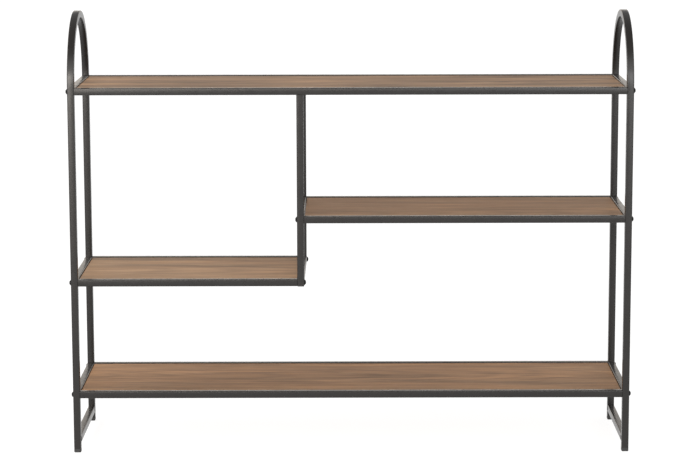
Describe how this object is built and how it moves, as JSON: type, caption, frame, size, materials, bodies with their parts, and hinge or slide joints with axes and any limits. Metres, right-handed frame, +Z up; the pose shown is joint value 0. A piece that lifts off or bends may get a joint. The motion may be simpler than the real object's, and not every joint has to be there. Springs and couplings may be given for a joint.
{
  "type": "bookcase",
  "caption": "Low open bookcase with wide and half-width wood boards in square-tube rails, a short divider and an arched tube frame at each end.",
  "frame": {"origin": "on the floor, midway along the width and the depth", "axes": "+X along the width to the right as seen from the front, +Y to the rear, +Z up; the front is -Y"},
  "size_m": [1.2074, 0.31, 0.9449],
  "materials": {
    "frame_steel": "satin powder coat, dark gunmetal",
    "board_wood": "matt, mid-brown grain along the width",
    "black_steel": "black, satin",
    "black_plastic": "matt black",
    "zinc_steel": "bright zinc plate"
  },
  "bodies": {
    "root": {"left_arch_tube": "frame_steel", "left_top_rung": "frame_steel", "left_lower_rung": "frame_steel", "left_bottom_rung": "frame_steel", "left_foot_stretcher": "frame_steel", "right_arch_tube": "frame_steel", "right_top_rung": "frame_steel", "right_middle_rung": "frame_steel", "right_bottom_rung": "frame_steel", "right_foot_stretcher": "frame_steel", "divider_front_post": "frame_steel", "divider_rear_post": "frame_steel", "divider_middle_rung": "frame_steel", "divider_lower_rung": "frame_steel", "divider_spigots": "zinc_steel", "divider_lock_screws": "black_steel", "divider_end_caps": "black_plastic", "foot_caps": "black_plastic", "top_front_rail": "frame_steel", "top_rear_rail": "frame_steel", "top_rail_plugs": "zinc_steel", "top_bolts": "black_steel", "top_board_straps": "frame_steel", "top_board": "board_wood", "top_board_screws": "zinc_steel", "middle_front_rail": "frame_steel", "middle_rear_rail": "frame_steel", "middle_rail_plugs": "zinc_steel", "middle_bolts": "black_steel", "middle_board_straps": "frame_steel", "middle_board": "board_wood", "middle_board_screws": "zinc_steel", "lower_front_rail": "frame_steel", "lower_rear_rail": "frame_steel", "lower_rail_plugs": "zinc_steel", "lower_bolts": "black_steel", "lower_board_straps": "frame_steel", "lower_board": "board_wood", "lower_board_screws": "zinc_steel", "bottom_front_rail": "frame_steel", "bottom_rear_rail": "frame_steel", "bottom_rail_plugs": "zinc_steel", "bottom_bolts": "black_steel", "bottom_board_straps": "frame_steel", "bottom_board": "board_wood", "bottom_board_screws": "zinc_steel"}
  },
  "joints": []
}
